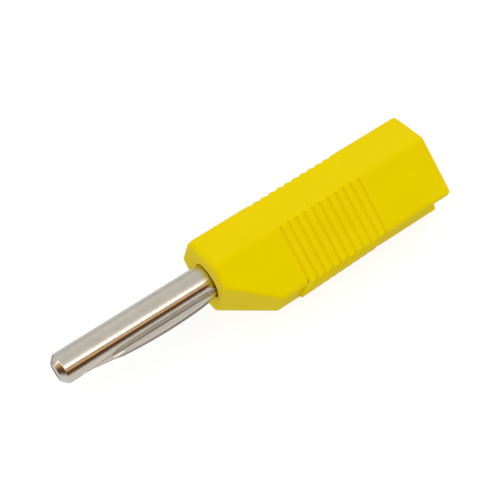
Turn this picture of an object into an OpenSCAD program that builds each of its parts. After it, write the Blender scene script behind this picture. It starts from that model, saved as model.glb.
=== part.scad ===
// Banana plug for 4 mm sockets, lying on one of its flat sides.
// The pin's axis is the X axis and the pin points along +X. X = 0 is the front face of the housing.

/* [Housing] */
// Length of the housing from the nose to the open rear end
housing_l = 28.2; // [26:0.1:36]
// Width of the narrow top face
top_w = 5.2; // [4.4:0.1:6]
// Height of the top face above the pin's axis
top_h = 3.85; // [3.8:0.05:5]
// Width across the two side edges, the widest place
side_w = 10; // [9.4:0.1:12]
// Depth of the side edges below the pin's axis
side_drop = 0.45; // [0:0.05:1]
// Width of the bottom face
bottom_w = 4.65; // [4:0.05:6]
// Depth of the bottom face below the pin's axis
bottom_h = 6.85; // [6:0.05:8]
// Rounding of the long edges at the top and the sides
edge_r = 0.4; // [0.1:0.05:0.6]
// Rounding of the two long edges at the bottom
low_edge_r = 0.8; // [0.3:0.05:1]
// Thickness of the moulded walls
wall = 0.95; // [0.7:0.05:1]
// Depth of the open hollow at the rear
hollow_l = 8.6; // [7:0.1:9]
// Length that the bottom wall is cut back at the rear
cutback_l = 2.3; // [1:0.1:4]

/* [Nose] */
// Length of the slanted bevel under the nose
bevel_l = 5.05; // [3:0.05:7]
// Height of the front face that is left between the pin's hole and the bevel
nose_land = 0.5; // [0.3:0.05:1]
// Rounding of the front face's edges
nose_r = 0.5; // [0.2:0.05:0.8]
// Thickness of the front wall
nose_wall = 3; // [2.8:0.1:5]
// Gap between the spring leaf and the bottom of the pin's hole
leaf_room = 0.09; // [0.05:0.01:0.3]

/* [Grip] */
// Number of grip grooves
groove_n = 11; // [5:1:13]
// Distance from the nose to the first groove
groove_start = 8.4; // [7:0.1:9]
// Distance from groove to groove
groove_pitch = 1.055; // [0.7:0.005:1.1]
// Radius of the groove's round floor
groove_r = 0.3; // [0.2:0.05:0.4]
// Depth of the grooves
groove_depth = 0.16; // [0.05:0.01:0.19]
// Distance from the side edge to the upper end of the side grooves
groove_margin = 0.1; // [0.05:0.05:1]
// Rounding of the two long edges at the bottom of the grip
rib_edge_r = 0.3; // [0.1:0.05:0.6]
// Height of the grip's crowned bottom above the bottom face
crown_h = 0.2; // [0.05:0.05:0.3]

/* [Contact] */
// Length of the pin in front of the nose
pin_l = 19; // [15:0.5:24]
// Diameter of the pin
pin_d = 3.5; // [3.2:0.05:3.6]
// Diameter of the pin's flat end
tip_d = 2.2; // [1:0.1:2.6]
// Diameter of the barrel inside the housing
barrel_d = 5.6; // [5:0.1:5.6]
// Depth of the barrel's rear end inside the housing
barrel_recess = 4.2; // [4.1:0.1:6]
// Diameter of the wire's bore in the barrel
wire_d = 2.8; // [2.7:0.1:3.2]
// Depth of the wire's bore
wire_l = 7.5; // [5:0.1:10]

/* [Spring leaf] */
// Distance from the pin's tip to the leaf's front end
leaf_front = 2.05; // [1.5:0.05:4]
// Distance from the barrel's shoulder to the leaf's rear end
leaf_tail = 0.55; // [0.2:0.05:1.5]
// Width of the leaf's middle part
leaf_w = 1.5; // [1:0.05:1.8]
// Width of the tongues at the leaf's two ends
tongue_w = 0.5; // [0.4:0.05:0.8]
// Length over which the leaf narrows to a tongue
taper_l = 1.2; // [0.8:0.1:2]
// Thickness of the leaf
leaf_t = 0.3; // [0.15:0.05:0.35]
// Height of the leaf's highest place above the pin's surface
leaf_bow = 0.78; // [0.6:0.01:0.9]
// Depth of the leaf's front end below the pin's surface
leaf_dip = 0.25; // [0.1:0.01:0.4]
// Share of the leaf's length that lies behind its highest place
leaf_share = 0.436; // [0.4:0.002:0.5]

/* [Clamp screw] */
// Diameter of the clamp screw
screw_d = 2.5; // [2:0.1:2.6]
// Length of the clamp screw
screw_l = 2; // [1.6:0.1:2.2]
// Distance from the barrel's rear end to the clamp screw
screw_inset = 2.6; // [2:0.1:2.8]
// Width of the screwdriver slot
slot_w = 0.5; // [0.3:0.05:0.8]
// Depth of the screwdriver slot
slot_depth = 0.7; // [0.4:0.05:0.9]

/* [Clearances] */
// Radial gap between the barrel and its bore
barrel_gap = 0.04; // [0.02:0.01:0.1]
// Radial gap between the screw and its thread in the barrel
thread_gap = 0.05; // [0.02:0.01:0.1]
// Radial gap between the screw and its hole in the housing
access_gap = 0.2; // [0.1:0.05:0.4]
// Gap between the pin and the top of its hole
pin_gap = 0.04; // [0.02:0.01:0.1]
// Gap between the leaf and its slot, at the sides, the ends and the floor
leaf_gap = 0.04; // [0.02:0.01:0.1]
// Gap between the open screw and the wire's bore
screw_gap = 0.1; // [0.05:0.05:0.3]
// Gap between the barrel's shoulder and the front wall
shoulder_gap = 0.02; // [0.01:0.01:0.1]

/* [Hidden] */

$fn = 96;
corner_steps = 6;
nose_steps = 5;
slice = 0.01;
spare = 1;

// Corners of the housing's section, [y, z], going round from the bottom face
section_points = [
    [-bottom_w / 2, -bottom_h],
    [bottom_w / 2, -bottom_h],
    [side_w / 2, -side_drop],
    [top_w / 2, top_h],
    [-top_w / 2, top_h],
    [-side_w / 2, -side_drop]
];

// Rounding of each corner of the section
edge_rs = [low_edge_r, low_edge_r, edge_r, edge_r, edge_r, edge_r];
grip_rs = [rib_edge_r, rib_edge_r, edge_r, edge_r, edge_r, edge_r];

// The lower side face that the plug lies on, and the roll that brings it underneath
side_run = section_points[2] - section_points[1];
side_len = norm(side_run);
roll = atan2(side_run[1], side_run[0]);

pin_r = pin_d / 2;
barrel_r = barrel_d / 2;
tip_chamfer = pin_r - tip_d / 2;
shoulder_x = -nose_wall - shoulder_gap;
barrel_x = barrel_recess - housing_l;
hollow_x = hollow_l - housing_l;
screw_x = barrel_x + screw_inset;

// The leaf's outer face is an arc through its highest place and its front end
leaf_x = shoulder_x + leaf_tail;
leaf_end = pin_l - leaf_front;
leaf_top = leaf_x + leaf_share * (leaf_end - leaf_x);
leaf_run = leaf_end - leaf_top;
leaf_rise = leaf_bow + leaf_dip;
leaf_r = (leaf_run * leaf_run + leaf_rise * leaf_rise) / (2 * leaf_rise);
leaf_z = -pin_r - leaf_bow;

// The leaf is wide where it lies clear of the pin, and a tongue where it dips into it
wide_run = sqrt(2 * (leaf_r - leaf_t) * (leaf_bow - leaf_t - leaf_gap));
leaf_plan = [
    [leaf_x, tongue_w / 2],
    [0, tongue_w / 2],
    [2 * taper_l, leaf_w / 2],
    [leaf_top + wide_run - taper_l, leaf_w / 2],
    [leaf_top + wide_run, tongue_w / 2],
    [leaf_end, tongue_w / 2]
];

// Depth of the leaf's outer face below the pin's axis at x
function leaf_low(x) = leaf_z + leaf_r - sqrt(leaf_r * leaf_r - (x - leaf_top) * (x - leaf_top));

// The hole lies lower than the pin, because the leaf passes through it under the pin
hole_low = leaf_low(0) - leaf_room;
hole_r = (pin_r + pin_gap - hole_low) / 2;
hole_z = pin_r + pin_gap - hole_r;
bevel_z = hole_low - nose_land;

// The crowned bottom of the grip is an arc across the bottom face
crown_half = bottom_w / 2 - rib_edge_r;
crown_r = (crown_half * crown_half + crown_h * crown_h) / (2 * crown_h);
crown_z = crown_r - bottom_h - crown_h;
grip_l = (groove_n - 1) * groove_pitch;

screw_z = wire_d / 2 + screw_gap;

// Corners of a convex outline with every side moved in by d
function inset(points, d) = [
    for (i = [0 : len(points) - 1])
        let (
            n = len(points),
            here = points[i],
            back = points[(i + n - 1) % n] - here,
            next = points[(i + 1) % n] - here,
            u = back / norm(back),
            v = next / norm(next),
            half = acos(u * v) / 2
        )
        here + (u + v) / norm(u + v) * d / sin(half)
];

// A convex outline, counter-clockwise, with each corner rounded to its own radius
function rounded(points, radii) = let (n = len(points)) [
    for (i = [0 : n - 1])
        let (
            centre = inset(points, radii[i])[i],
            back = points[i] - points[(i + n - 1) % n],
            next = points[(i + 1) % n] - points[i],
            start = atan2(back[1], back[0]) - 90,
            turn = (atan2(next[1], next[0]) - atan2(back[1], back[0]) + 360) % 360
        )
        for (k = [0 : corner_steps])
            let (a = start + turn * k / corner_steps)
            centre + radii[i] * [cos(a), sin(a)]
];

// Draws a [y, z] outline from x0 to x1
module along_x(x0, x1) {
    translate([x0, 0, 0])
        rotate([90, 0, 90])
            linear_extrude(x1 - x0)
                children();
}

// Draws an [x, z] outline with its middle on y = 0
module across_y(w) {
    rotate([90, 0, 0])
        linear_extrude(w, center = true)
            children();
}

// A round rod along X
module rod(x0, x1, r) {
    translate([x0, 0, 0])
        rotate([0, 90, 0])
            cylinder(h = x1 - x0, r = r);
}

// Lays the plug on its lower side face
module lie_down() {
    rotate([roll, 0, 0])
        children();
}

// The six-sided block, with soft edges round the front face
module housing_block() {
    along_x(-housing_l, -nose_r)
        polygon(rounded(section_points, edge_rs));
    hull()
        for (k = [0 : nose_steps])
            let (a = 90 * k / nose_steps)
            along_x(-nose_r - slice + nose_r * sin(a), -nose_r + nose_r * sin(a))
                polygon(rounded(inset(section_points, nose_r * (1 - cos(a))), edge_rs));
}

// The wedge that is cut away under the nose
module nose_bevel() {
    slope = (bottom_h + bevel_z) / bevel_l;
    across_y(2 * side_w)
        polygon([
            [-bevel_l - spare, -bottom_h - spare * slope],
            [spare, bevel_z + spare * slope],
            [spare, -bottom_h - spare * slope]
        ]);
}

// The grip between the first and the last groove, with crisper edges and a crowned bottom
module grip_crown() {
    along_x(-groove_start - grip_l, -groove_start) {
        polygon(rounded(section_points, grip_rs));
        intersection() {
            translate([0, crown_z])
                circle(r = crown_r);
            translate([-crown_half, -bottom_h - crown_h])
                square([2 * crown_half, crown_h + low_edge_r]);
        }
    }
}

// One groove: over the two lower sides, across the bottom and across the top
module groove() {
    lift = groove_r - groove_depth;
    side_angle = atan2(side_run[1], side_run[0]);
    for (flip = [0, 1])
        mirror([0, flip, 0])
            translate([0, section_points[1][0], section_points[1][1]])
                rotate([side_angle - 90, 0, 0])
                    translate([0, lift, -spare])
                        cylinder(h = side_len - groove_margin + spare, r = groove_r);
    translate([0, 0, crown_z])
        rotate([0, 90, 0])
            rotate_extrude()
                translate([crown_r + lift, 0])
                    circle(r = groove_r);
    translate([0, 0, top_h + lift])
        rotate([90, 0, 0])
            cylinder(h = top_w + spare, r = groove_r, center = true);
}

// The open hollow behind the block, and the cut in its bottom wall
module rear_hollow() {
    inner = inset(section_points, wall);
    along_x(-housing_l - spare, hollow_x)
        polygon(rounded(inner, [for (p = inner) edge_r]));
    along_x(-housing_l - spare, cutback_l - housing_l)
        translate([inner[0][0], -bottom_h - spare])
            square([inner[1][0] - inner[0][0], spare + 2 * wall]);
}

// Moulded yellow housing
module housing() {
    color("gold")
        lie_down()
            difference() {
                union() {
                    housing_block();
                    grip_crown();
                }
                nose_bevel();
                rear_hollow();
                for (i = [0 : groove_n - 1])
                    translate([-groove_start - i * groove_pitch, 0, 0])
                        groove();
                translate([0, 0, hole_z])
                    rod(-nose_wall - spare, spare, hole_r);
                rod(barrel_x, -nose_wall, barrel_r + barrel_gap);
                translate([screw_x, 0, 0])
                    cylinder(h = top_h + spare, r = screw_d / 2 + access_gap);
            }
}

// Turned pin and barrel, in one piece
module contact_pin() {
    color("silver")
        lie_down()
            difference() {
                rotate([90, 0, 90])
                    rotate_extrude()
                        polygon([
                            [0, barrel_x],
                            [barrel_r, barrel_x],
                            [barrel_r, shoulder_x],
                            [pin_r, shoulder_x],
                            [pin_r, pin_l - tip_chamfer],
                            [tip_d / 2, pin_l],
                            [0, pin_l]
                        ]);
                rod(barrel_x - spare, barrel_x + wire_l, wire_d / 2);
                translate([screw_x, 0, 0])
                    cylinder(h = barrel_d, r = screw_d / 2 + thread_gap);
                tongue_slot(leaf_x - leaf_gap, leaf_top - wide_run, leaf_low(leaf_x));
                tongue_slot(leaf_top + wide_run, leaf_end + leaf_gap, leaf_low(leaf_end));
            }
}

// Slot in the pin's underside for one of the leaf's tongues, whose outer face is at z
module tongue_slot(x0, x1, z) {
    across_y(tongue_w + 2 * leaf_gap)
        translate([x0, z + leaf_t + leaf_gap - pin_d])
            square([x1 - x0, pin_d]);
}

// Bowed strip under the pin, with a tongue at each end in a slot of the pin
module spring_leaf() {
    back = [for (i = [len(leaf_plan) - 1 : -1 : 0]) [leaf_plan[i][0], -leaf_plan[i][1]]];
    color("lightgray")
        lie_down()
            intersection() {
                across_y(2 * leaf_w)
                    translate([leaf_top, leaf_z + leaf_r])
                        difference() {
                            circle(r = leaf_r);
                            circle(r = leaf_r - leaf_t);
                        }
                translate([0, 0, -2 * pin_d])
                    linear_extrude(2 * pin_d)
                        polygon(concat(leaf_plan, back));
            }
}

// Slotted screw that clamps the wire
module clamp_screw() {
    color("darkgray")
        lie_down()
            translate([screw_x, 0, screw_z])
                difference() {
                    cylinder(h = screw_l, r = screw_d / 2);
                    translate([-screw_d, -slot_w / 2, screw_l - slot_depth])
                        cube([2 * screw_d, slot_w, screw_l]);
                }
}

housing();
contact_pin();
spring_leaf();
clamp_screw();
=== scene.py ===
import math

import bmesh
import bpy
import numpy as np
from mathutils import Matrix, Quaternion, Vector


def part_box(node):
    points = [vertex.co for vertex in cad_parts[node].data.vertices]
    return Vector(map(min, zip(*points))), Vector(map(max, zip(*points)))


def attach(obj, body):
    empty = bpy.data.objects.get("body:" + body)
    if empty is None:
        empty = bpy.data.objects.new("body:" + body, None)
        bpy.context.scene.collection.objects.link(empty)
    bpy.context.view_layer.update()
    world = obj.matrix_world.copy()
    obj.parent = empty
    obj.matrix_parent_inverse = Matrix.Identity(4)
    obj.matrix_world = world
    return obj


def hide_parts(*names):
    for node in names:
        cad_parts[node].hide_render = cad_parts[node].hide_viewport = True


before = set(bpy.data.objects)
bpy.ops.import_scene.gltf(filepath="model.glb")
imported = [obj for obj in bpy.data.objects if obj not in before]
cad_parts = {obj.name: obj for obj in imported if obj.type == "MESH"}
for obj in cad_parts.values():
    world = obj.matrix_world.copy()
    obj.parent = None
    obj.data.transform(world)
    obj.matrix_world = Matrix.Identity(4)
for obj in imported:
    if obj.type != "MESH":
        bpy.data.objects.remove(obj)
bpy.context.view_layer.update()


# Contact: a pin and a barrel turned from one brass bar and plated with bright nickel.
# Two short slots for the leaf's tongues are milled in the pin's underside, the wire's bore is drilled
# from behind, and a hole for the clamp screw crosses the barrel's upper wall.
pin_r = 1.75
pin_l = 19.0
tip_r = 1.1
barrel_r = 2.8
barrel_back = -24.0
shoulder_x = -3.02
wire_r = 1.4
wire_end = -16.5
slot_half = 0.29
rear_slot = (-2.51, -1.2, -1.58)
front_slot = (13.2, 16.99, -1.16)
screw_x = -21.4
cross_hole_r = 1.3
round_steps = 192

# The plug lies on a lower side face of its housing, which leans out as it rises. So every piece is made
# upright in millimetres and then laid down.
side_rise = 6.4
side_lean = 2.675
side_slant = math.hypot(side_rise, side_lean)
lie_down = Matrix.Rotation(math.atan2(side_rise, side_lean), 4, "X") @ Matrix.Scale(0.001, 4)


def softened(corners, radii, steps=5):
    """The outline through the corners, with an arc of its own radius at each."""
    outline = []
    for i, (corner, radius) in enumerate(zip(corners, radii)):
        here = Vector(corner)
        if radius == 0:
            outline.append(here)
            continue
        back = (Vector(corners[i - 1]) - here).normalized()
        ahead = (Vector(corners[(i + 1) % len(corners)]) - here).normalized()
        half = back.angle(ahead) / 2
        turn = math.pi - 2 * half
        centre = here + (back + ahead).normalized() * radius / math.sin(half)
        first = here + back * radius / math.tan(half) - centre
        last = here + ahead * radius / math.tan(half) - centre
        for k in range(steps + 1):
            a = turn * k / steps
            outline.append(centre + (first * math.sin(turn - a) + last * math.sin(a)) / math.sin(turn))
    return outline


def skin(name, rings, joined=False):
    """A closed mesh over rings of equal point counts, joined end to end or capped."""
    rings = np.asarray(rings, float)
    count, around = rings.shape[:2]
    here = np.arange(count if joined else count - 1)[:, None]
    side = np.arange(around)[None, :]
    step = (side + 1) % around
    ahead = (here + 1) % count
    quads = np.stack(
        [here * around + side, here * around + step, ahead * around + step, ahead * around + side], -1
    )
    faces = quads.reshape(-1, 4).tolist()
    if not joined:
        faces.append(list(range(around)))
        faces.append(list(range((count - 1) * around, count * around)))
    mesh = bpy.data.meshes.new(name)
    mesh.from_pydata(rings.reshape(-1, 3).tolist(), [], faces)
    work = bmesh.new()
    work.from_mesh(mesh)
    bmesh.ops.recalc_face_normals(work, faces=work.faces)
    work.to_mesh(mesh)
    work.free()
    piece = bpy.data.objects.new(name, mesh)
    bpy.context.scene.collection.objects.link(piece)
    return piece


def turned(name, profile):
    """A piece turned about the X axis from its (x, radius) profile."""
    angles = np.linspace(0, 2 * math.pi, round_steps, endpoint=False)
    rings = [[(x, r * math.cos(a), r * math.sin(a)) for a in angles] for x, r in profile]
    return skin(name, rings)


def block(low, high):
    """A square cutter between two corners."""
    ring = [(low[1], low[2]), (high[1], low[2]), (high[1], high[2]), (low[1], high[2])]
    return skin("cutter", [[(x, y, z) for y, z in ring] for x in (low[0], high[0])])


def drill(x, z, profile):
    """A round cutter that points up at x, with its (height above z, radius) profile."""
    bit = turned("cutter", profile)
    bit.data.transform(Matrix.Translation((x, 0, z)) @ Matrix.Rotation(-math.pi / 2, 4, "Y"))
    return bit


def cut(piece, cutter, operation="DIFFERENCE"):
    """Takes the cutter away from the piece, or joins it on with UNION."""
    step = piece.modifiers.new("cut", "BOOLEAN")
    step.operation = operation
    step.solver = "EXACT"
    step.object = cutter
    graph = bpy.context.evaluated_depsgraph_get()
    mesh = bpy.data.meshes.new_from_object(piece.evaluated_get(graph))
    piece.modifiers.clear()
    piece.data = mesh
    bpy.data.objects.remove(cutter)


def laid(piece, material, crease=35):
    """Lays the finished piece down, shades it and gives it its material."""
    piece.data.transform(lie_down)
    piece.data.shade_smooth()
    piece.data.set_sharp_from_angle(angle=math.radians(crease))
    piece.data.materials.clear()
    piece.data.materials.append(material)


def wired(tree, kind, links=(), **settings):
    """A new node with its settings, whose inputs take other nodes' outputs or plain values."""
    made = tree.nodes.new(kind)
    for key, value in settings.items():
        setattr(made, key, value)
    for socket, source in dict(links).items():
        if isinstance(source, bpy.types.NodeSocket):
            tree.links.new(source, made.inputs[socket])
        else:
            made.inputs[socket].default_value = source
    return made


def coloured(ramp, stops):
    """Gives a ramp node its colours, as (position, colour) stops."""
    while len(ramp.color_ramp.elements) < len(stops):
        ramp.color_ramp.elements.new(1.0)
    for element, (position, colour) in zip(ramp.color_ramp.elements, stops):
        element.position = position
        element.color = (*colour, 1.0)
    return ramp.outputs["Color"]


class Finish:
    """A material with one shader, and short calls for the nodes that vary it."""

    def __init__(self, name, **sockets):
        self.material = bpy.data.materials.new(name)
        self.material.use_nodes = True
        self.tree = self.material.node_tree
        self.shader = self.tree.nodes["Principled BSDF"]
        for socket, value in sockets.items():
            self.shader.inputs[socket.replace("_", " ")].default_value = value
        self.place = self.tree.nodes.new("ShaderNodeTexCoord").outputs["Object"]

    def node(self, kind, links=(), **settings):
        return wired(self.tree, kind, links, **settings)

    def grain(self, scale, detail=3.0, rough=0.6):
        """Noise with that many grains to the metre along each axis."""
        spread = self.node("ShaderNodeMapping", {"Vector": self.place, "Scale": scale})
        noise = self.node(
            "ShaderNodeTexNoise",
            {"Vector": spread.outputs[0], "Scale": 1.0, "Detail": detail, "Roughness": rough},
        )
        return noise.outputs["Fac"]

    def ramp(self, value, stops):
        """Colours along a value, as (position, colour) stops."""
        return coloured(self.node("ShaderNodeValToRGB", {"Fac": value}), stops)

    def between(self, value, low, high):
        """Takes a noise value's middle part to the range from low to high."""
        span = {"Value": value, "From Min": 0.3, "From Max": 0.7, "To Min": low, "To Max": high}
        return self.node("ShaderNodeMapRange", span).outputs["Result"]

    def bump(self, height, strength, depth, under=None):
        links = {"Height": height, "Strength": strength, "Distance": depth}
        if under is not None:
            links["Normal"] = under
        return self.node("ShaderNodeBump", links).outputs["Normal"]

    def feed(self, **sources):
        for socket, source in sources.items():
            self.tree.links.new(source, self.shader.inputs[socket.replace("_", " ")])


# Bright nickel on turned brass: marks of the turning tool run round the axis, and the plating is a
# little uneven.
nickel = Finish("bright_nickel", Metallic=1.0)
turning = nickel.grain((7500.0, 900.0, 900.0), detail=3.0)
cloud = nickel.grain((900.0, 900.0, 900.0))
speckle = nickel.grain((16000.0, 9000.0, 9000.0))
nickel.feed(
    Base_Color=nickel.ramp(cloud, [(0.3, (0.62, 0.575, 0.5)), (0.7, (0.69, 0.64, 0.56))]),
    Roughness=nickel.between(speckle, 0.06, 0.12),
    Normal=nickel.bump(speckle, 0.12, 0.000004, nickel.bump(turning, 1.0, 0.00002)),
)

edge = 0.1
contact_profile = softened(
    [
        (wire_end + 0.8, 0.02),
        (wire_end, wire_r),
        (barrel_back + 0.2, wire_r),
        (barrel_back, wire_r + 0.2),
        (barrel_back, barrel_r - 0.25),
        (barrel_back + 0.25, barrel_r),
        (shoulder_x - 0.2, barrel_r),
        (shoulder_x, barrel_r - 0.2),
        (shoulder_x, pin_r),
        (pin_l - pin_r + tip_r, pin_r),
        (pin_l, tip_r),
        (pin_l, 0.02),
    ],
    [0, 0, 0.05, 0.05, 0.08, 0.08, 0.08, 0.08, 0, edge, edge, 0],
)
contact = turned("contact_turned", contact_profile)
for slot_back, slot_front, slot_floor in (rear_slot, front_slot):
    cut(contact, block((slot_back, -slot_half, -2 * pin_r), (slot_front, slot_half, slot_floor)))
cut(contact, drill(screw_x, 0, [(0, 0.9), (0.4, cross_hole_r), (3.4, cross_hole_r)]))
laid(contact, nickel.material)
# Mirrored rays pass the contact by, so the leaf mirrors the room and not the pin.
contact.visible_glossy = False
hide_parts("contact_pin")
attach(contact, "plug")


# Spring leaf: a strip rolled from spring bronze, plated like the contact and bent to a flat bow.
# Its two narrow tongues lie in the pin's slots, and its wide middle, with both edges folded towards
# the pin, stands clear of it, so that a socket presses it in.
leaf_back = -2.47
leaf_front = 16.95
leaf_w = 1.5
tongue_w = 0.5
leaf_t = 0.3
leaf_top = 6.0
leaf_low = -2.53
leaf_bend = 58.7
leaf_plan_x = [leaf_back, -1.0, -0.1, 12.0, 13.2, leaf_front]
leaf_plan_w = [tongue_w, tongue_w, leaf_w, leaf_w, tongue_w, tongue_w]
leaf_edge = 0.05
flange_t = 0.2
flange_top = -1.92
nose_bend_l = 3.0
nose_bend = 0.15

leaf_rings = []
for x in np.linspace(leaf_back, leaf_front, 241):
    half = np.interp(x, leaf_plan_x, leaf_plan_w) / 2
    swing = math.asin((x - leaf_top) / leaf_bend)
    lift = nose_bend * min(1.0, max(0.0, 1 - x / nose_bend_l)) ** 2
    fold = max(leaf_t + 0.01, flange_top - leaf_low - lift - (x - leaf_top) ** 2 / (2 * leaf_bend))
    inner = half - flange_t
    channel = [(-half, 0), (half, 0), (half, fold), (inner, fold), (inner, leaf_t)]
    channel += [(-inner, leaf_t), (-inner, fold), (-half, fold)]
    ring = softened(channel, [leaf_edge, leaf_edge, 0.1, 0, 0, 0, 0, 0.1])
    leaf_rings.append(
        [
            (
                leaf_top + (leaf_bend - z) * math.sin(swing),
                y,
                leaf_low + lift + leaf_bend - (leaf_bend - z) * math.cos(swing),
            )
            for y, z in ring
        ]
    )
leaf = skin("spring_leaf_strip", leaf_rings)

# Rolled strip: fine lines along its length under the plating.
rolled = Finish("plated_spring_strip", Metallic=1.0)
lines = rolled.grain((400.0, 24000.0, 24000.0), detail=4.0)
rolled.feed(
    Base_Color=rolled.ramp(lines, [(0.3, (0.6, 0.56, 0.5)), (0.7, (0.68, 0.63, 0.56))]),
    Roughness=rolled.between(lines, 0.1, 0.22),
    Normal=rolled.bump(lines, 0.15, 0.000004),
)
laid(leaf, rolled.material)
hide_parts("spring_leaf")
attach(leaf, "plug")


# Housing: one injection moulding of yellow polyamide with a fine satin surface and soft edges.
# Saw-toothed grip grooves run round its lower half and across its narrow top, the nose is bevelled
# underneath, and the contact is pushed in from the open rear end.
housing_l = 28.2
half_top = 2.6
top_z = 3.85
half_side = 5.0
side_z = -0.45
half_bottom = 2.325
bottom_z = -6.85
upper_edge_r = 0.45
back_edge_r = 0.2
lower_edge_r = 0.8
rib_edge_r = 0.3
rear_edge_r = 0.3
rear_edge_run = (24.0, 27.5)
inner_edge_r = 0.3
wall = 0.95
nose_low = -2.95
nose_x = 0.12
nose_radii = np.array([0.12, 0.62, 0.85, 0.12, 0.06, 0.12])
bevel_l = 5.05
bevel_soft = 0.15
nose_wall = 3.0
hole_r = 2.052
hole_z = -0.262
hole_soft = 0.1
bore_r = 2.84
hollow_x = -19.6
rim_r = 0.15
top_rim_r = 0.42
rear_corner_r = 0.2
rear_back_corner_r = 0.8
rear_corner_x = -26.4
groove_n = 11
first_groove = -8.55
groove_pitch = 1.055
side_groove_depth = 0.2
bottom_groove_depth = 0.3
groove_ramp = 0.5
bottom_groove_ramp = 0.3
groove_face = 0.14
groove_end = 0.08
top_notch_ahead = 0.45
top_notch_half = 0.36
top_notch_depth = 0.21
top_rib_drop = 0.025
bottom_groove_arc = 0.9
arc_back = -23.0
arc_front = -5.4
grip_drop = 0.13
crown_h = 0.34
crown_rear_share = 0.7
crown_half = 2.12
panel_dip = 0.04
panel_low = 0.25
panel_high = 2.7
panel_back = -19.05
panel_lean = 0.075
panel_fade = (-15.0, -7.0)
cutback_l = 2.3
cutback_half = 1.692
cutback_soft = 0.3
access_r = 1.45

# Corners and sides of a section are counted from the bottom's far corner, past the camera's side
LOWER_EDGE = 1
TOP_SIDE = 3
edge_radii = np.array([lower_edge_r] * 2 + [upper_edge_r] * 2 + [back_edge_r, upper_edge_r])
grip_radii = np.array([rib_edge_r] * 2 + [upper_edge_r] * 2 + [back_edge_r, upper_edge_r])
rim_radii = np.array([rim_r] * 3 + [top_rim_r] + [rim_r] * 2)
arc_steps = 8
even = np.linspace(0, 1, 13)[1:-1]
side_run = np.linspace(0, 1, 27)[1:-1]
upper_run = np.concatenate(
    [
        [0.05, 0.1, 0.135, 0.15, 0.165, 0.18, 0.2],
        np.linspace(0.26, 0.66, 8),
        [0.7, 0.715, 0.73, 0.745, 0.76, 0.83, 0.92],
    ]
)
side_steps = [even, side_run, upper_run, even, 1 - upper_run[::-1], 1 - side_run[::-1]]


def section(low):
    """The six corners, (y, z), of a section whose bottom edge is at that height."""
    wide = half_bottom + (low - bottom_z) * (half_side - half_bottom) / (side_z - bottom_z)
    right = [(wide, low), (half_side, side_z), (half_top, top_z)]
    return np.array([(-wide, low), *right, (-half_top, top_z), (-half_side, side_z)])


def moved_in(corners, depths):
    """The corners after each side has moved in by its own depth."""
    runs = np.roll(corners, -1, 0) - corners
    inward = np.stack([-runs[:, 1], runs[:, 0]], 1) / np.linalg.norm(runs, axis=1)[:, None]
    reach = (inward * corners).sum(1) + depths
    pairs = [(i - 1, i) for i in range(6)]
    return np.array([np.linalg.solve(inward[list(p)], reach[list(p)]) for p in pairs])


def outline(corners, radii):
    """Points and outward directions round a section, corner by corner, side by side."""
    runs = np.roll(corners, -1, 0) - corners
    runs /= np.linalg.norm(runs, axis=1)[:, None]
    facing = np.stack([runs[:, 1], -runs[:, 0]], 1)
    arcs, swings = [], []
    for i in range(6):
        turn = math.acos(np.clip(facing[i - 1] @ facing[i], -1, 1))
        middle = facing[i - 1] + facing[i]
        middle /= np.linalg.norm(middle)
        centre = corners[i] - middle * radii[i] / math.cos(turn / 2)
        share = np.linspace(0, turn, arc_steps + 1)[:, None]
        swing = (facing[i - 1] * np.sin(turn - share) + facing[i] * np.sin(share)) / math.sin(turn)
        arcs.append(centre + radii[i] * swing)
        swings.append(swing)
    points, outward = [], []
    for i in range(6):
        first, last = arcs[i][-1], arcs[(i + 1) % 6][0]
        points += [*arcs[i], *(first + (last - first) * t for t in side_steps[i])]
        outward += [*swings[i], *([facing[i]] * len(side_steps[i]))]
    return np.array(points), np.array(outward)


def eased(value, low, high):
    """A smooth step from 0 at low to 1 at high."""
    t = np.clip((np.asarray(value, float) - low) / (high - low), 0, 1)
    return t * t * (3 - 2 * t)


# Where the grooves, the crowned bottom and the two shallow panels lie, for every point of a ring
full, full_outward = outline(section(bottom_z), grip_radii)
below_edge = (side_z - full[:, 1]) * side_slant / side_rise
underneath = eased(-full_outward[:, 1], 0.5, 0.95)
side_depths = side_groove_depth * (1 - underneath) * eased(below_edge, groove_end - 0.04, groove_end + 0.04)
bottom_depths = bottom_groove_depth * underneath * eased(np.abs(full[:, 0]), 0.5, 1.7)
on_bottom = full[:, 1] < bottom_z + 0.1
crown_heights = crown_h * np.clip(1 - (full[:, 0] / crown_half) ** 2, 0, 1) * on_bottom
panel_depths = panel_dip * eased(full[:, 1], panel_low - 0.05, panel_low + 0.05)
panel_depths *= 1 - eased(full[:, 1], panel_high - 0.05, panel_high + 0.05)
panel_backs = panel_back + panel_lean * (full[:, 1] - panel_low)
rear_radii = np.where(full[:, 0] > 0, rear_corner_r, rear_back_corner_r)
above_low_edge = np.minimum((full[:, 1] - bottom_z) * side_slant / side_rise, rear_radii)
rear_shifts = rear_radii - np.sqrt(np.maximum(0, rear_radii ** 2 - (rear_radii - above_low_edge) ** 2))
arc_shifts = bottom_groove_arc * np.clip(1 - (full[:, 0] / half_bottom) ** 2, 0, 1) * on_bottom

groove_lines = first_groove - groove_pitch * np.arange(groove_n)
top_notches = groove_lines + top_notch_ahead


def groove(x, ramp_l):
    """Depth share of the grip at x: a steep face behind each line and a ramp towards the nose."""
    behind = groove_lines - x
    face = np.clip(1 - behind / groove_face, 0, 1)
    ramp = np.clip(1 + behind / ramp_l, 0, 1) ** 1.2
    return np.where(behind >= 0, face, ramp).max()


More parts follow.
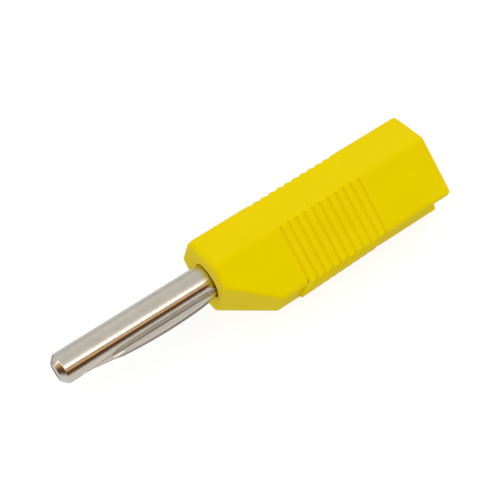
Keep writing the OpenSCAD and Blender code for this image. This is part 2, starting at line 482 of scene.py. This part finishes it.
def top_notch(x):
    """Depth of the narrow top at x: round notches between ribs that lie a little low."""
    share = np.clip(1 - (np.abs(x - top_notches) / top_notch_half) ** 1.5, 0, 1).max()
    first, last = top_notches[0], top_notches[-1]
    ribs = eased(x, last - 0.5, last) * (1 - eased(x, first, first + 0.5))
    return top_rib_drop * ribs + (top_notch_depth - top_rib_drop) * share


def low_edge(x):
    """Height of the bottom edge at x, along the bevel and the bottom face."""
    slope = (nose_low - bottom_z) / bevel_l
    ahead = x + bevel_l
    if ahead > bevel_soft:
        return bottom_z + slope * ahead
    return bottom_z + slope * max(0.0, ahead + bevel_soft) ** 2 / (4 * bevel_soft)


def end_rounding(into, radii):
    """How far a rounded end lies inside its full section, that far into the rounding."""
    into = np.clip(into, 0, radii)
    return radii - np.sqrt(radii ** 2 - into ** 2)


def hull_ring(x, inside=0.0):
    """One ring of the housing's outside, or of its hollow at that depth inside."""
    depths = end_rounding(nose_radii + x - nose_x, nose_radii)
    if inside:
        depths = depths + inside - end_rounding(rim_r - housing_l - x, np.full(6, rim_r))
    else:
        depths = depths + end_rounding(rim_radii - housing_l - x, rim_radii)
    grip = float(groove_lines[-1] <= x <= first_groove)
    crown = grip * np.interp(x, [groove_lines[-1], first_groove], [crown_rear_share, 1.0])
    radii = np.full(6, inner_edge_r) if inside else np.where(grip, grip_radii, edge_radii)
    if not inside:
        radii[LOWER_EDGE] -= (lower_edge_r - rear_edge_r) * eased(-x, *rear_edge_run)
    drop = 0.0 if inside else grip * np.interp(x, [groove_lines[-1], first_groove], [0.0, grip_drop])
    points, outward = outline(moved_in(section(low_edge(x) - drop), depths), radii)
    if not inside:
        dip = eased(x, panel_backs - 0.02, panel_backs + 0.05) * (1 - eased(x, *panel_fade))
        cuts = side_depths * groove(x, groove_ramp) + bottom_depths * groove(x, bottom_groove_ramp)
        points += outward * (crown_heights * crown - cuts - panel_depths * dip)[:, None]
        points[:, 1] = np.minimum(points[:, 1], top_z - depths[TOP_SIDE] - top_notch(x))
    back = np.clip((rear_corner_x - x) / (housing_l + rear_corner_x), 0, 1)
    shifts = back * rear_shifts
    if not inside:
        arc_share = eased(x, arc_back, groove_lines[-1]) * (1 - eased(x, first_groove + 0.6, arc_front))
        shifts = shifts + arc_shifts * arc_share
    return [(x + shift, y, z) for shift, (y, z) in zip(shifts, points)]


def round_ring(x, radius, height, like):
    """A ring on a circle, with its points at the angles of another ring's."""
    angles = [math.atan2(z - height, y) for _, y, z in like]
    return [(x, radius * math.cos(a), height + radius * math.sin(a)) for a in angles]


nose_stations = nose_x - nose_radii.max() * (1 - np.sin(np.radians(np.linspace(90, 0, 15))))
crease = -bevel_l + bevel_soft * np.linspace(1, -1, 7)
grip_steps = np.concatenate(
    [
        [0.52, 0.5, 0.485, 0.46, 0.42, 0.36],
        np.linspace(0.3, 0.06, 5),
        [0.005, 0, -0.03, -0.06, -0.09, -0.12, -0.15, -0.18],
        np.linspace(-0.24, -0.5, 5),
    ]
)
stations = np.concatenate(
    [
        nose_stations,
        np.linspace(nose_stations[-1], crease[0], 16)[1:-1],
        crease,
        [-5.6, -6.2, -6.8, -7.2],
        first_groove + np.linspace(1.1, 0.56, 10),
        *[line + grip_steps for line in groove_lines],
        groove_lines[-1] - np.array([0.6, 0.8, 1.2, 2.0, 3.5, 5.0, 6.5, 7.3, 8.0, 8.6]),
    ]
)
rings = [hull_ring(x) for x in stations]
outer_turn = np.sin(np.radians(np.linspace(0, 90, 11)))
rings += [hull_ring(-housing_l + top_rim_r * (1 - turn)) for turn in outer_turn]
rim_turn = np.sin(np.radians(np.linspace(0, 90, 6)))
rings += [hull_ring(-housing_l + rim_r * (1 - turn), wall) for turn in rim_turn[::-1]]
hollow = hull_ring(-26.0, wall)
rings += [[(x, y, z) for _, y, z in hollow] for x in (-26.0, -24.0, -22.0, hollow_x)]
rings += [round_ring(x, bore_r, 0, hollow) for x in (hollow_x, -nose_wall)]
nose = rings[0]
rings += [round_ring(x, hole_r, hole_z, nose) for x in (-nose_wall, -1.5)]
for a in np.linspace(0, 90, 5):
    x = nose_x - hole_soft * (1 - math.sin(math.radians(a)))
    rings.append(round_ring(x, hole_r + hole_soft * (1 - math.cos(math.radians(a))), hole_z, nose))
housing = skin("housing_moulding", rings, joined=True)

# The bottom wall is cut back between the two sides, with rounded corners at the rear end.
notch = softened(
    [
        (-housing_l - 2, -half_bottom - 1),
        (-housing_l, -half_bottom - 1),
        (-housing_l, -cutback_half),
        (cutback_l - housing_l, -cutback_half),
        (cutback_l - housing_l, cutback_half),
        (-housing_l, cutback_half),
        (-housing_l, half_bottom + 1),
        (-housing_l - 2, half_bottom + 1),
    ],
    [0, 0, 0.2, 0.2, 0.2, cutback_soft, 0, 0],
)
cut(housing, skin("cutter", [[(x, y, z) for x, y in notch] for z in (bottom_z - 1, bottom_z + 1.5 * wall)]))
# The round hole over the clamp screw, with a small lead-in.
access = [(2, access_r), (top_z - 0.15, access_r), (top_z, access_r + 0.15), (5, access_r + 0.15)]
cut(housing, drill(screw_x, 0, access))
# A small raised mark of the mould on the bevel.
mark_place = Vector((-2.82, -0.45, -5.07))
mark_half_l = 0.34
mark_half_w = 0.075
mark_h = 0.06
slope = Vector((bevel_l, 0, nose_low - bottom_z)).normalized()
off_bevel = Vector((-slope.z, 0, slope.x)) * -1
mark_rings = []
for along in np.linspace(-0.98, 0.98, 9):
    full_here = (1 - along ** 4) ** 0.5
    ring = []
    for a in np.linspace(0, 2 * math.pi, 12, endpoint=False):
        aside = Vector((0, mark_half_w * full_here * math.cos(a), 0))
        height = off_bevel * mark_h * full_here * math.sin(a)
        ring.append(mark_place + slope * mark_half_l * along + aside + height)
    mark_rings.append(ring)
cut(housing, skin("cutter", mark_rings), "UNION")

# Yellow polyamide: nearly even colour, slightly cloudy where the melt flowed, and a fine satin grain
# from the mould.
polyamide = Finish(
    "yellow_polyamide",
    Specular_IOR_Level=0.06,
    Specular_Tint=(1.0, 0.8, 0.05, 1.0),
    Subsurface_Weight=0.06,
    Subsurface_Scale=0.0006,
    Subsurface_Radius=(1.0, 0.8, 0.1),
)
flow = polyamide.grain((150.0, 300.0, 300.0))
satin = polyamide.grain((11000.0, 11000.0, 11000.0), detail=2.0)
ripple = polyamide.grain((1500.0, 1500.0, 1500.0), detail=2.0)
# Painted light: the wall round the hole is painted a deeper orange, a painted stand-in for light passed
# through the moulding and bounced inside the hole
hole_middle = lie_down @ Vector((0, 0, hole_z))
aside = polyamide.node("ShaderNodeVectorMath", {0: polyamide.place, 1: hole_middle}, operation="SUBTRACT")
across = polyamide.node(
    "ShaderNodeVectorMath", {0: aside.outputs[0], 1: (0.0, 1.0, 1.0)}, operation="MULTIPLY"
)
off_middle = polyamide.node("ShaderNodeVectorMath", {0: across.outputs[0]}, operation="LENGTH")
painted_bounce_mask = polyamide.node(
    "ShaderNodeMapRange", {"Value": off_middle.outputs["Value"], "From Min": 0.00216, "From Max": 0.00206}
)
outside = polyamide.ramp(flow, [(0.3, (0.83, 0.635, 0.0)), (0.7, (0.85, 0.66, 0.0))])
# Mixes the painted bounce light into the wall round the hole, over the moulding's own yellow
with_painted_bounce = polyamide.node(
    "ShaderNodeMixRGB",
    {"Fac": painted_bounce_mask.outputs["Result"], "Color1": outside, "Color2": (0.85, 0.47, 0.0, 1.0)},
)
polyamide.feed(
    Base_Color=with_painted_bounce.outputs["Color"],
    Roughness=polyamide.between(satin, 0.42, 0.55),
    Normal=polyamide.bump(satin, 0.12, 0.000008, polyamide.bump(ripple, 0.05, 0.00002)),
)
laid(housing, polyamide.material)
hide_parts("housing")
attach(housing, "plug")


# Clamp screw: a short steel grub screw with a driver slot, cut with a fine thread and zinc plated.
# It turns down through the barrel's upper wall on to the wire, and is reached through the housing's hole.
screw_r = 1.25
screw_l = 2.0
screw_low = 1.5
thread_pitch = 0.45
thread_depth = 0.17
driver_half = 0.25
driver_depth = 0.7

thread_angles = np.linspace(0, 2 * math.pi, round_steps, endpoint=False)
thread_rings = []
for h in np.linspace(0, screw_l, 81):
    turn = (h / thread_pitch - thread_angles / (2 * math.pi)) % 1
    radius = screw_r - thread_depth * np.clip(np.abs(2 * turn - 1) * 1.3 - 0.15, 0, 1)
    ease_in = min(1.0, h / 0.25, (screw_l - h) / 0.2)
    radius = np.minimum(radius, screw_r - 0.25 * (1 - ease_in))
    thread_rings.append(
        np.stack([radius * np.cos(thread_angles), radius * np.sin(thread_angles), np.full(round_steps, h)], 1)
    )
screw = skin("clamp_screw_threaded", thread_rings)
cut(screw, block((-2, -driver_half, screw_l - driver_depth), (2, driver_half, screw_l + 1)))
screw.data.transform(Matrix.Translation((screw_x, 0, screw_low)))

# Zinc plating: a pale, slightly uneven grey.
zinc = Finish("zinc_plating", Metallic=1.0)
bloom = zinc.grain((2500.0, 2500.0, 2500.0))
zinc.feed(
    Base_Color=zinc.ramp(bloom, [(0.3, (0.56, 0.57, 0.58)), (0.7, (0.68, 0.69, 0.7))]),
    Roughness=zinc.between(bloom, 0.22, 0.36),
    Normal=zinc.bump(bloom, 0.1, 0.00001),
)
laid(screw, zinc.material)
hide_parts("clamp_screw")
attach(screw, "screw")


# Stage: a plain white table top under the plug, wide enough to fill every view.
# The room gives an even soft light. Mirrored rays alone see its pale walls, its bright panel, the
# dark gaps and a painted shadow of the plug below, which give the nickel its bands.
table_half = 3.0
table_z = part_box("housing")[0].z
table_mesh = bpy.data.meshes.new("table_top")
table_mesh.from_pydata(
    [(x * table_half, y * table_half, table_z) for x, y in ((-1, -1), (1, -1), (1, 1), (-1, 1))],
    [],
    [(0, 1, 2, 3)],
)
table = bpy.data.objects.new("table_top", table_mesh)
bpy.context.scene.collection.objects.link(table)
paper = Finish(
    "white_table",
    Roughness=0.9,
    Specular_IOR_Level=0.0,
    Emission_Strength=0.82,
    Emission_Color=(1.0, 1.0, 1.0, 1.0),
)
fibre = paper.grain((400.0, 400.0, 400.0))
paper.feed(Base_Color=paper.ramp(fibre, [(0.3, (0.22, 0.22, 0.22)), (0.7, (0.24, 0.24, 0.24))]))
table_mesh.materials.append(paper.material)
table.visible_glossy = False
table.visible_diffuse = False

room = bpy.data.worlds.new("studio")
bpy.context.scene.world = room
room.use_nodes = True
room.cycles.sampling_method = "NONE"
around = room.node_tree
sight = around.nodes.new("ShaderNodeTexCoord").outputs["Generated"]
facing_to = wired(around, "ShaderNodeSeparateXYZ", {"Vector": sight}).outputs
upward = facing_to["Z"]
ahead = wired(around, "ShaderNodeVectorMath", {0: sight, 1: (0.6, 0.8, 0.0)}, operation="DOT_PRODUCT")
angle = wired(around, "ShaderNodeMath", {0: upward, 1: ahead.outputs["Value"]}, operation="ARCTAN2")
turn_share = wired(
    around, "ShaderNodeMapRange", {"Value": angle.outputs[0], "From Min": -math.pi, "From Max": math.pi}
)
# The mirrored room by angle, from the ground behind the plug, up past the camera's side and over to the back
room_bands = [
    (-180, (0.75, 0.75, 0.77)),
    (-165, (0.85, 0.85, 0.86)),
    (-141, (0.5, 0.48, 0.46)),
    # Painted shadow: these two dark bands, a little past straight down, stand in for the plug's shadow on the
    # table, which mirrored rays don't see
    (-120, (0.24, 0.19, 0.16)),
    (-106, (0.28, 0.22, 0.19)),
    (-96, (0.75, 0.74, 0.72)),
    (-77, (0.82, 0.82, 0.82)),
    (-30, (0.82, 0.81, 0.78)),
    (-19, (0.52, 0.46, 0.4)),
    (-10, (0.15, 0.085, 0.065)),
    (13, (0.12, 0.06, 0.045)),
    (22, (0.3, 0.16, 0.07)),
    (28, (1.1, 0.72, 0.3)),
    (34, (0.95, 0.64, 0.32)),
    (41, (0.3, 0.18, 0.16)),
    (46, (0.6, 0.48, 0.48)),
    (51, (1.7, 1.65, 1.65)),
    (55, (2.0, 2.0, 2.0)),
    (63, (2.0, 2.0, 2.0)),
    (71, (1.05, 1.03, 1.0)),
    (80, (0.82, 0.81, 0.78)),
    (95, (0.74, 0.73, 0.7)),
    (110, (0.74, 0.74, 0.73)),
    (129, (0.8, 0.8, 0.8)),
    (156, (0.74, 0.74, 0.73)),
    (168, (0.56, 0.56, 0.56)),
    (180, (0.75, 0.75, 0.77)),
]
bands = wired(around, "ShaderNodeValToRGB", {"Fac": turn_share.outputs["Result"]})
mirrored = coloured(bands, [((degrees + 180) / 360, colour) for degrees, colour in room_bands])
# A pale sheet low down ahead of the tip, seen in the pin's flat end
low_down = wired(around, "ShaderNodeMapRange", {"Value": upward, "From Min": -0.5, "From Max": -0.65})
ahead_of_tip = wired(
    around,
    "ShaderNodeMapRange",
    {"Value": facing_to["X"], "From Min": 0.1, "From Max": 0.2, "To Max": low_down.outputs["Result"]},
)
mirrored = wired(
    around,
    "ShaderNodeMixRGB",
    {"Fac": ahead_of_tip.outputs["Result"], "Color1": mirrored, "Color2": (0.8, 0.84, 0.92, 1.0)},
).outputs["Color"]
# The light itself: even from above, weaker from below
light_share = wired(
    around,
    "ShaderNodeMapRange",
    {"Value": upward, "From Min": -0.1, "From Max": 0.1, "To Min": 0.6, "To Max": 1.0},
)
in_mirror = around.nodes.new("ShaderNodeLightPath").outputs["Is Glossy Ray"]
seen = wired(
    around,
    "ShaderNodeMixRGB",
    {"Fac": in_mirror, "Color1": light_share.outputs["Result"], "Color2": mirrored},
)
around.links.new(seen.outputs["Color"], around.nodes["Background"].inputs["Color"])


# Camera: a long lens above and in front of the plug, on the side of its grooved lower face.
# Place, aim and roll come from a fit to the photo's outline.
camera_place = Vector((0.039134, 0.079591, 0.11406))
camera_aim = Vector((-0.0053215, 0.0008889, 0.00148))
camera_roll = math.radians(-8.112)
camera = bpy.data.objects.new("camera", bpy.data.cameras.new("camera"))
camera.data.lens = 96.71
camera.data.sensor_width = 36.0
camera.data.clip_start = 0.005
camera.location = camera_place
camera.rotation_mode = "QUATERNION"
tilt = Quaternion((0, 0, 1), camera_roll)
camera.rotation_quaternion = (camera_aim - camera_place).to_track_quat("-Z", "Y") @ tilt
bpy.context.scene.collection.objects.link(camera)
bpy.context.scene.camera = camera
bpy.context.scene.view_settings.view_transform = "Standard"
